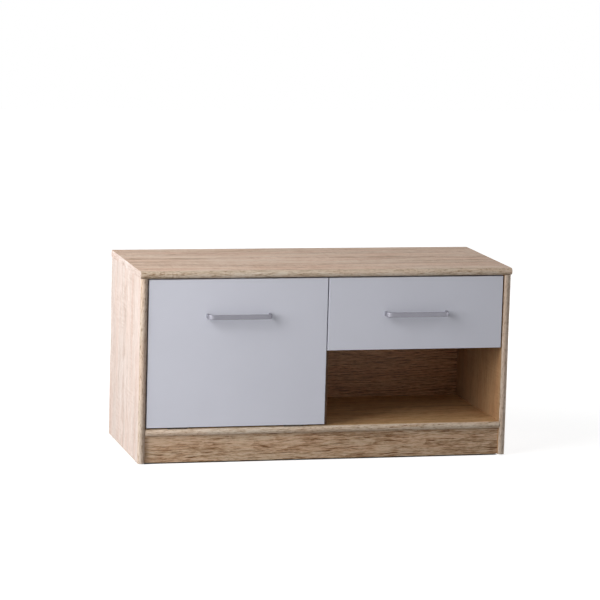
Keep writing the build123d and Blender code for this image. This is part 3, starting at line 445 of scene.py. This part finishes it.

# %% [markdown]
# A board now takes its foil, its nose, its end bands, its raw edges and its inside from one function. The
# noses are printed in foils of their own, with fine flecks. The end bands are short strips with the grain
# across them. Insides are painted shade: warmer and darker than the outside, and darker still on the divider
# and the right wall.

# %% One oak board
board_look = OakLook(depth=0.56, contrast=0.72, broad=0.45, figure=0.13, saw=0.3, dash=0.08)
nose_depth = 0.009
# Painted shade of the compartments: inside faces are multiplied by these tints, the second one darker.
inside_shade_tint = (1.0, 0.85, 0.6, 1.0)
wall_shade_tint = (0.66, 0.46, 0.26, 1.0)
foil_gloss, pore_gloss, raw_gloss = 0.62, 0.14, 0.4
foil_shine = 0.25
foil_relief = 0.00012


def board_patches(name, axes, nose, band):
    """Patches for the nose along a board's front and for the bands on its ends."""
    low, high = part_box(name)
    patches = []
    if nose:
        mask = axes[1] < low.y + nose_depth
        patches.append(Patch(mask, nose, bolder=0.1, paler=0.06, flecked=0.24))
    if band:
        patches.append(Patch(band, pale_oak, bolder=-0.6, paler=-0.1, flecked=0.0))
    return patches


def oak_board(name, along, stretch, heart, tones, nose=None, bare="", banded="", inside="", look=board_look,
              shade_tint=wall_shade_tint):
    """Oak foil for one board; the heart line is given from the board's middle, across the grain."""
    finish, shade = new_finish("oak_" + name)
    place = place_on_piece(shade)
    axes = axes_of(shade, place)
    grain = along_grain(shade, axes, along, stretch)
    band = edges_of(name, axes, banded) if banded else None
    if banded:
        grain = blend(shade, band, grain, along_grain(shade, axes, "y", stretch + 1), kind="VECTOR")
    low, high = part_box(name)
    middle = (low + high) / 2
    across = [middle[index] for index in grain_order[along][1:]]
    heart_line = [centre + offset for centre, offset in zip(across, heart)]
    patches = board_patches(name, axes, nose, band)
    colour, height, pores = oak_print(shade, grain, heart_line, tones, look, patches)
    gloss = foil_gloss + pores * pore_gloss
    # The inside faces are darkened and warmed here: painted shade.
    if inside:
        colour = blend(shade, edges_of(name, axes, inside), colour, shade_tint, "MULTIPLY")
    if bare:
        raw = edges_of(name, axes, bare)
        chips, chip_height = chipboard(shade, place)
        colour = blend(shade, raw, colour, chips)
        height = height + raw * (chip_height * 2.0 - height)
        gloss = gloss + raw * raw_gloss
    inlets = {"Base Color": colour, "Roughness": gloss, "Normal": relief(shade, height, foil_relief)}
    inlets.update({"Specular IOR Level": foil_shine})
    dress(close_finish(finish, shade, inlets), name)


print("noses are", 1000 * nose_depth, "mm deep")

# %% [markdown]
# The eight boards follow. The grain runs along the length of each one: level on the top, the bottom and the
# plinth, upright on the sides and the divider. The plinth is printed more boldly than the rest.

# %% The oak boards
top_look = OakLook(depth=0.67, contrast=1.35, broad=0.7, figure=0.2, saw=0.42, dash=0.12)
floor_look = OakLook(depth=0.6, contrast=1.2, broad=0.4, figure=0.16, saw=0.05, dash=0.1)
plinth_look = OakLook(depth=0.64, contrast=1.6, broad=0.35, figure=0.22, saw=0.05, dash=0.24)
oak_board("top_panel", "x", 1, (0.03, -0.06), top_oak, nose_oak, bare="back", banded="left right",
          look=top_look)
oak_board("bottom_panel", "x", 2, (0.01, -0.06), warm_oak, nose_oak, bare="back", inside="top",
          look=floor_look, shade_tint=inside_shade_tint)
oak_board("side_panel_left", "z", 3, (0.065, 0.02), pale_oak, post_oak, bare="back foot", inside="right",
          shade_tint=inside_shade_tint)
oak_board("side_panel_right", "z", 4, (-0.065, -0.03), pale_oak, post_oak, bare="back foot", inside="left")
# The divider's front edge takes the dark foil, which is painted shade.
oak_board("centre_divider", "z", 5, (0.07, 0.04), warm_oak, divider_shade_oak, inside="left right")
oak_board("plinth_front", "x", 6, (0.055, 0.013), plinth_oak, bare="foot", look=plinth_look)
oak_board("plinth_rear", "x", 7, (-0.055, 0.013), plinth_oak, bare="foot", look=plinth_look)
oak_board("plinth_web", "y", 8, (0.07, 0.013), plinth_oak, bare="foot", look=plinth_look)
print("oak boards", len(dressed))

# %% [markdown]
# ## Back panel
# The thin back is hardboard: oak foil towards the room, bare brown fibre towards the wall. Two sheets would
# be one way, but one material serves both sides, with a mask at the middle of its thickness.

# %% Hardboard
back_look = OakLook(depth=0.5, contrast=1.5, broad=0.4, figure=0.2, saw=0.05, dash=0.16)
back_shade_tint = (0.95, 0.74, 0.54, 1.0)
back_gloss, fibre_gloss = 0.45, 0.35
back_relief = 0.00015


def hardboard(shade, place):
    """Colour and height of bare hardboard: pressed fibres with no direction."""
    felt = noise(shade, place, even(700.0), 4.0, 0.7)
    cloud = noise(shade, place, even(14.0), 3.0)
    browns = (0.25, paint(108, 78, 52)), (0.55, paint(142, 108, 76)), (0.8, paint(166, 132, 98))
    return ramp(shade, felt * 0.6 + cloud * 0.4, *browns), felt


finish, shade = new_finish("oak_back_panel")
place = place_on_piece(shade)
axes = axes_of(shade, place)
low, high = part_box("back_panel")
grain = along_grain(shade, axes, "x", 9)
heart_line = (low.y + 0.08, 0.3)
colour, height, pores = oak_print(shade, grain, heart_line, warm_oak, back_look)
# Painted shade: the oak side, seen only inside the compartments, is multiplied darker and warmer.
colour = blend(shade, 1.0, colour, back_shade_tint, "MULTIPLY")
fibre_colour, felt = hardboard(shade, place)
wall_side = axes[1] > (low.y + high.y) / 2
colour = blend(shade, wall_side, colour, fibre_colour)
height = height + wall_side * (felt * 1.6 - height)
gloss = back_gloss + wall_side * fibre_gloss
inlets = {"Base Color": colour, "Roughness": gloss, "Normal": relief(shade, height, back_relief)}
dress(close_finish(finish, shade, inlets), "back_panel")
print("back panel", round(1000 * (high.y - low.y), 1), "mm thick")

# %% [markdown]
# ## White fronts
# The flap and the drawer front are coated white, matt, with a cool cast. Such a coat is never quite even: it
# has a faint cloudiness and a very fine skin. Both are noises too weak to see as a pattern, but without them
# the fronts look like paper. The drawer's box and the enamelled runners are the same recipe in other whites.


# %% White coat
def coated_board(name, colour, gloss, nodes, skin=0.00003):
    """Even matt coat on boards or sheet, with a faint cloud and a fine skin."""
    finish, shade = new_finish(name)
    place = place_on_piece(shade)
    cloud = noise(shade, place, even(6.0), 3.0)
    peel = noise(shade, place, even(620.0), 2.0)
    inlets = {
        "Base Color": blend(shade, cloud, darker(colour, 0.93), colour),
        "Roughness": gloss + (peel - 0.5) * 0.12 + (cloud - 0.5) * 0.08,
        "Normal": relief(shade, peel, skin),
    }
    dress(close_finish(finish, shade, inlets), *nodes)


front_white = paint(226, 227, 238)
box_white = paint(222, 220, 214)
sheet_white = paint(214, 211, 204)
enamel_white = paint(228, 226, 218)
runner_nodes = ["cabinet_runner_left", "cabinet_runner_right", "drawer_runner_left", "drawer_runner_right"]
coated_board("white_front", front_white, 0.42, ["flap_panel", "drawer_front"])
coated_board("drawer_board", box_white, 0.5, ["drawer_side_left", "drawer_side_right", "drawer_back"])
coated_board("drawer_floor", sheet_white, 0.55, ["drawer_bottom"], skin=0.00006)
coated_board("runner_enamel", enamel_white, 0.32, runner_nodes, skin=0.00008)
print("dressed so far", len(dressed))

# %% [markdown]
# ## Metal
# The handles are a satin silver metal, brushed along the bar: its roughness changes in long fine lines. They
# look softer than bare metal, as under a lacquer, so they get only part of a metal's mirror. The stay, the
# screws and the cams are zinc-plated steel, with soft blotches where the plating took differently. The hinges
# are a dark bronze, partly their finish and partly painted shade, so that they read as the shaded gap under
# the flap. All are the same recipe with other tones and other noises.

# %% Brushed and plated metal
blotches = even(240.0)
brush_lines = drawn(40.0, 2600.0)


def plated(name, bright, dull, gloss, spacing, nodes, metal=1.0):
    """Metal that wavers between two tones; the spacing stretches it into brush lines or blotches."""
    finish, shade = new_finish(name)
    place = place_on_piece(shade)
    brush = noise(shade, place, spacing, 3.0, 0.6)
    cloud = noise(shade, place, even(45.0), 2.0)
    inlets = {
        "Base Color": blend(shade, brush * 0.6 + cloud * 0.4, dull, bright),
        "Metallic": metal,
        "Roughness": gloss + (brush - 0.5) * 0.16 + (cloud - 0.5) * 0.1,
        "Normal": relief(shade, brush, 0.00002),
    }
    dress(close_finish(finish, shade, inlets), *nodes)
    return finish


handle_nodes = ["flap_handle", "drawer_handle"]
fitting_nodes = """cam_locks cam_bolts divider_screws back_panel_nails
    carcass_screws flap_screws flap_handle_screws catch_plate
    stay_bracket stay_rivet stay_arm stay_guide_base
    cabinet_roller_rivets drawer_roller_rivets drawer_handle_screws
    drawer_cam_locks drawer_cam_bolts drawer_back_screws drawer_runner_screws""".split()
hinge_nodes = """hinge_leaf_base_left hinge_leaf_base_right
    hinge_leaf_flap_left hinge_leaf_flap_right hinge_pins""".split()
handle_bright, handle_dull = paint(157, 156, 164), paint(127, 126, 136)
zinc_bright, zinc_dull = paint(206, 208, 212), paint(158, 160, 166)
bronze_shade_bright, bronze_shade_dull = paint(96, 88, 80), paint(66, 60, 54)
plated("handle_metal", handle_bright, handle_dull, 0.46, brush_lines, handle_nodes, metal=0.65)
zinc = plated("zinc_steel", zinc_bright, zinc_dull, 0.36, blotches, fitting_nodes)
# The hinges are dark bronze, partly their finish and partly painted shade for the gap under the flap.
plated("hinge_steel", bronze_shade_bright, bronze_shade_dull, 0.42, blotches, hinge_nodes)
print("metal pieces", len(handle_nodes + fitting_nodes + hinge_nodes))

# %% [markdown]
# ## Screws
# The CAD screws are plain pins with a flat head. A real one has a cross cut into its head and a thread on its
# shank, and a row of cross heads is what makes a hinge or a runner look fitted by hand. The places needn't be
# typed in: each CAD screw is a loose solid, so its box gives the axis, and the wider end is the head.

# %% Where the screws sit
merge_distance = 1e-6
rim_share = 0.9


def loose_solids(name):
    """Points of each separate solid in a CAD node, in a steady order."""
    merged = bmesh.new()
    merged.from_mesh(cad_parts[name].data)
    bmesh.ops.remove_doubles(merged, verts=merged.verts, dist=merge_distance)
    waiting = set(merged.verts)
    solids = []
    while waiting:
        found = [waiting.pop()]
        for vert in found:
            beside = {edge.other_vert(vert) for edge in vert.link_edges} & waiting
            waiting -= beside
            found += beside
        solids.append([vert.co.copy() for vert in found])
    merged.free()
    return sorted(solids, key=lambda points: tuple(round(min(p[i] for p in points), 4) for i in range(3)))


def screw_fit(points):
    """Matrix that puts a screw's head top on this solid, its head radius and thickness, and its length."""
    low = Vector([min(point[i] for point in points) for i in range(3)])
    high = Vector([max(point[i] for point in points) for i in range(3)])
    middle = (low + high) / 2
    along = max(range(3), key=lambda i: high[i] - low[i])
    length = high[along] - low[along]
    reach = {}
    for point in points:
        aside = point - middle
        height = aside[along] / length
        aside[along] = 0.0
        reach[point.freeze()] = (height, aside.length)
    head = max(radius for height, radius in reach.values())
    rim = [height for height, radius in reach.values() if radius > rim_share * head]
    facing = 1.0 if sum(rim) > 0 else -1.0
    thick = (0.5 - min(abs(height) for height in rim)) * length
    way = Vector([facing if i == along else 0.0 for i in range(3)])
    top = middle + way * length / 2
    return Matrix.Translation(top) @ way.to_track_quat("Z", "Y").to_matrix().to_4x4(), head, thick, length


for name in ("carcass_screws", "flap_handle_screws"):
    place, head, thick, length = screw_fit(loose_solids(name)[0])
    print(name, len(loose_solids(name)), "head", round(head, 4), round(thick, 4), "length", round(length, 4))

# %% [markdown]
# The screw is turned like a part on a lathe: a profile from the head's rim down the ridges of the thread to
# the point, spun round. All its sizes are shares of the head's radius, so that one recipe serves hinge screws
# and long divider screws alike. A true thread is a helix, but rings look the same at this size and close
# cleanly.

# %% Turned screw
screw_sides = 14


def turned_screw(head, thick, length):
    """Mesh of a screw whose head top lies at the origin and faces up, still open at the top, and that rim."""
    turned = bmesh.new()
    shank, core, pitch, point = 0.48 * head, 0.37 * head, 0.42 * head, 0.15 * head
    ridges = int((length - thick) / pitch) - 2
    profile = [(0.84 * head, 0.0), (head, -0.35 * thick), (head, -thick), (core, -thick)]
    for ridge in range(ridges):
        height = -thick - (ridge + 0.5) * pitch
        profile += [(shank, height), (core, height - 0.5 * pitch)]
    profile += [(point, -length)]
    chain = [turned.verts.new((radius, 0.0, height)) for radius, height in profile]
    edges = [turned.edges.new(pair) for pair in zip(chain, chain[1:])]
    bmesh.ops.spin(turned, geom=chain + edges, axis=(0, 0, 1), cent=(0, 0, 0), steps=screw_sides,
                   angle=2 * pi, use_merge=True)
    open_rings = [edge for edge in turned.edges if edge.is_boundary]
    rim = [edge for edge in open_rings if edge.verts[0].co.z > -thick]
    bmesh.ops.edgeloop_fill(turned, edges=[edge for edge in open_rings if edge not in rim])
    return turned, rim


test, rim = turned_screw(head, thick, length)
print("turned handle screw", len(test.faces), "faces, rim", len(rim))
test.free()

# %% [markdown]
# The flat of the head is filled between its rim and a cross, and the cross is pushed in and narrowed towards
# its floor. A boolean cut would do it too, but filling keeps the mesh closed and gives the same result every
# time.


# %% Cross in the head
def push_cross(turned, rim, head, thick):
    """Close the head of a turned screw with a cross-shaped recess."""
    arm, half, sunk = 0.62 * head, 0.13 * head, min(0.6 * thick, 0.4 * head)
    corners = [Vector(spot) for spot in ((arm, -half, 0.0), (arm, half, 0.0), (half, half, 0.0))]
    quarters = [Matrix.Rotation(quarter * pi / 2, 3, "Z") for quarter in range(4)]
    cross = [turned.verts.new(quarter @ corner) for quarter in quarters for corner in corners]
    outline = [turned.edges.new(pair) for pair in zip(cross, cross[1:] + cross[:1])]
    bmesh.ops.triangle_fill(turned, use_beauty=True, edges=rim + outline)
    pushed = bmesh.ops.extrude_edge_only(turned, edges=outline)["geom"]
    floor_verts = [part for part in pushed if isinstance(part, bmesh.types.BMVert)]
    floor_edges = [part for part in pushed if isinstance(part, bmesh.types.BMEdge) and part.is_boundary]
    bmesh.ops.scale(turned, vec=(0.7, 0.7, 1.0), verts=floor_verts)
    bmesh.ops.translate(turned, vec=(0.0, 0.0, -sunk), verts=floor_verts)
    bmesh.ops.edgeloop_fill(turned, edges=floor_edges)
    bmesh.ops.recalc_face_normals(turned, faces=turned.faces)


test, rim = turned_screw(head, thick, length)
push_cross(test, rim, head, thick)
print("open edges after the cross:", sum(edge.is_boundary for edge in test.edges))
test.free()

# %% [markdown]
# Each group of CAD screws becomes one piece that stands in for it, rides on the same body and takes the same
# zinc. Nobody turns a row of screws to the same angle, so each is turned a little further than the last.

# %% Screws in place
screw_turn = 0.7


def screw_piece(node, body):
    """Detailed screws in place of a CAD node's plain ones."""
    work = bmesh.new()
    for number, points in enumerate(loose_solids(node)):
        place, head, thick, length = screw_fit(points)
        turned, rim = turned_screw(head, thick, length)
        push_cross(turned, rim, head, thick)
        turn = Matrix.Rotation(screw_turn * number, 4, "Z")
        bmesh.ops.transform(turned, matrix=place @ turn, verts=turned.verts)
        shape = bpy.data.meshes.new("screw")
        turned.to_mesh(shape)
        turned.free()
        work.from_mesh(shape)
        bpy.data.meshes.remove(shape)
    mesh = bpy.data.meshes.new(node + "_cross")
    work.to_mesh(mesh)
    work.free()
    mesh.materials.append(zinc)
    piece = bpy.data.objects.new(node + "_cross", mesh)
    bpy.context.scene.collection.objects.link(piece)
    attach(piece, body)
    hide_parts(node)
    return mesh


screws = {
    "carcass_screws": "carcass",
    "divider_screws": "carcass",
    "flap_screws": "flap",
    "flap_handle_screws": "flap",
    "drawer_handle_screws": "drawer",
    "drawer_runner_screws": "drawer",
    "drawer_back_screws": "drawer",
}
for node, body in screws.items():
    print(node, len(screw_piece(node, body).polygons), "faces")

# %% [markdown]
# ## Plastic, rubber and beech
# Rollers and the stay's guide are natural nylon, the catch is white plastic, the glides are brown plastic,
# the bumpers soft rubber and the dowels beech. Moulded plastic shows a fine grain from its mould; beech
# shows short flecks. Most of it is seen only when the flap or the drawer is open.


# %% Moulded pieces
def moulded(name, colour, gloss, nodes):
    """Moulded plastic or rubber with the fine grain of its mould."""
    finish, shade = new_finish(name)
    place = place_on_piece(shade)
    mould = noise(shade, place, even(1500.0), 2.0)
    flow = noise(shade, place, even(90.0), 3.0)
    inlets = {
        "Base Color": blend(shade, flow, darker(colour, 0.82), colour),
        "Roughness": gloss + (mould - 0.5) * 0.2,
        "Normal": relief(shade, mould, 0.00004),
    }
    dress(close_finish(finish, shade, inlets), *nodes)


nylon_nodes = """cabinet_roller_left cabinet_roller_right
    drawer_roller_left drawer_roller_right stay_guide""".split()
moulded("nylon", paint(232, 229, 220), 0.42, nylon_nodes)
moulded("glide_plastic", paint(92, 70, 54), 0.5, ["floor_glides"])
moulded("catch_plastic", paint(226, 224, 218), 0.45, ["magnetic_catch"])
moulded("bumper_rubber", paint(198, 198, 196), 0.35, ["front_bumpers"])
print("dressed so far", len(dressed))

# %% [markdown]
# The dowels are short beech pegs in drilled holes, so only their finish matters, and the flecks of beech are
# so short that one noise with fine detail gives them. Once they are done, no CAD piece is left plain.

# %% Beech dowels
finish, shade = new_finish("beech")
place = place_on_piece(shade)
fleck = noise(shade, place, even(420.0), 4.0, 0.7)
beech_tones = (0.3, paint(176, 128, 88)), (0.55, paint(208, 166, 122)), (0.8, paint(222, 186, 144))
inlets = {
    "Base Color": ramp(shade, fleck, *beech_tones),
    "Roughness": 0.5 + fleck * 0.2,
    "Normal": relief(shade, fleck, 0.00008),
}
dress(close_finish(finish, shade, inlets), "carcass_dowels", "drawer_dowels")
print("dressed", len(dressed), "left plain", sorted(set(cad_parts) - dressed))

# %% [markdown]
# ## Floor
# The floor is a plain pale sheet that takes the bench's shadow and looks white in the picture. Strong lamps
# would whiten it too, but they would bleach the bench. Instead the sheet glows for the rays that the eye
# sends and not for the light that falls on the bench. Inside the plinth no daylight comes, so there the
# glow is off, which leaves the thin dark line at the foot of a real bench.

# %% Floor
floor_half = 9.0
floor_grey = (0.42, 0.42, 0.42, 1.0)
near_white, near_reach, far_reach = 0.8, 0.7, 2.4
sheet = bmesh.new()
bmesh.ops.create_grid(sheet, x_segments=1, y_segments=1, size=floor_half)
floor_mesh = bpy.data.meshes.new("floor")
sheet.to_mesh(floor_mesh)
sheet.free()
floor = bpy.data.objects.new("floor", floor_mesh)
bpy.context.scene.collection.objects.link(floor)
floor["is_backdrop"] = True


def seen_white(shade):
    """1 for rays from the eye or off gloss and through glass, 0 for the light that falls on the bench."""
    ray_kinds = ("Is Camera Ray", "Is Glossy Ray", "Is Transmission Ray")
    rays = [shade.node("ShaderNodeLightPath", {}, {}, kind) for kind in ray_kinds]
    return shade.sum("MINIMUM", rays[0] + rays[1] + rays[2], 1.0)


def under_plinth(axes):
    """1 on the floor inside the plinth, where no light of the room comes, 0 elsewhere."""
    low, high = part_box("plinth_front")[0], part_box("plinth_rear")[1]
    return (axes[0] > low.x) * (axes[0] < high.x) * (axes[1] > low.y) * (axes[1] < high.y)


finish, shade = new_finish("pale_floor")
place = place_on_piece(shade)
distance = shade.node("ShaderNodeVectorMath", {"operation": "LENGTH"}, {0: place}, "Value")
far_white = step(shade, distance, near_reach, far_reach) * (1.0 - near_white)
white = (near_white + far_white) * (1.0 - under_plinth(axes_of(shade, place)))
inlets = {
    "Base Color": floor_grey,
    "Roughness": 1.0,
    "Specular IOR Level": 0.0,
    "Emission Color": seen_white(shade) * white,
    "Emission Strength": 1.0,
}
floor_mesh.materials.append(close_finish(finish, shade, inlets))
print("floor", floor_mesh.polygons[0].area, "square metres")

# %% [markdown]
# ## Light
# One large soft lamp stands to the left and a little in front, like a window, near enough that its light
# fades along the bench. A weak lamp in front opens the shadows. Two low lamps at the right and behind keep
# those sides from going dull when the bench is looked at from there. The room is white to the eye, and
# lights the bench at its own lower level. No lamp shows in the picture.

# %% Room and lamps
room_level = 0.17
room = bpy.data.worlds.new("white_room")
room.use_nodes = True
room.node_tree.nodes.clear()
shade = Shade(room.node_tree)
strength = room_level + seen_white(shade) * (1.0 - room_level)
walls = shade.node("ShaderNodeBackground", {}, {"Color": (1.0, 1.0, 1.0, 1.0), "Strength": strength})
shade.node("ShaderNodeOutputWorld", {}, {"Surface": walls})
bpy.context.scene.world = room


def soft_lamp(name, place, aim, size, power):
    """Lamp of this width and height that points from its place at the aim."""
    lamp = bpy.data.lights.new(name, "AREA")
    lamp.shape = "RECTANGLE"
    lamp.size, lamp.size_y = size
    lamp.energy = power
    lamp_object = bpy.data.objects.new(name, lamp)
    lamp_object.location = place
    lamp_object.visible_camera = False
    lamp_object.rotation_euler = (Vector(aim) - Vector(place)).to_track_quat("-Z", "Y").to_euler()
    bpy.context.scene.collection.objects.link(lamp_object)


soft_lamp("window_lamp", place=(-2.35, -0.85, 1.4), aim=(0.0, 0.0, 0.3), size=(2.2, 2.2), power=94.0)
soft_lamp("front_fill", place=(1.3, -2.4, 2.2), aim=(0.1, 0.0, 0.25), size=(1.2, 1.2), power=4.5)
soft_lamp("right_fill", place=(2.5, 0.3, 0.3), aim=(0.48, 0.0, 0.25), size=(1.4, 0.3), power=20.0)
soft_lamp("back_fill", place=(0.3, 2.2, 0.3), aim=(0.0, 0.2, 0.25), size=(1.8, 0.3), power=22.0)
bpy.context.scene.view_settings.view_transform = "Standard"
print("lamps", [lamp.name for lamp in bpy.data.lights])

# %% [markdown]
# ## Camera
# The bench is seen from the left and from above, with a long lens from far off, so that its lines stay nearly
# parallel. The camera is set by its place and by how far it is turned to the right, tipped down and leant to
# one side. A constraint that tracks a target would do as well, but it can't lean.

# %% Camera
camera_place = Vector((-1.958, -7.362, 1.589))
turn, tip, lean = radians(14.692), radians(8.993), radians(1.6)
sensor_width = 36.0
focal_pixels, frame_pixels = 2982.8, 600
look = Vector((sin(turn) * cos(tip), cos(turn) * cos(tip), -sin(tip)))
level_right = Vector((cos(turn), -sin(turn), 0.0))
level_up = level_right.cross(look)
right = cos(lean) * level_right + sin(lean) * level_up
up = cos(lean) * level_up - sin(lean) * level_right
lens = bpy.data.cameras.new("camera")
lens.sensor_width = sensor_width
lens.lens = sensor_width * focal_pixels / frame_pixels
camera = bpy.data.objects.new("camera", lens)
camera.matrix_world = Matrix.Translation(camera_place) @ Matrix((right, up, -look)).transposed().to_4x4()
bpy.context.scene.collection.objects.link(camera)
bpy.context.scene.camera = camera
print("camera", [round(v, 3) for v in camera_place], "lens", round(lens.lens, 1))

# %% [markdown]
# ## The last line
# The size of the dressed bench is printed, from the boxes of every piece that renders.

# %% Size and finish
low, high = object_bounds()
print("visual box", [round(side, 4) for side in high - low])
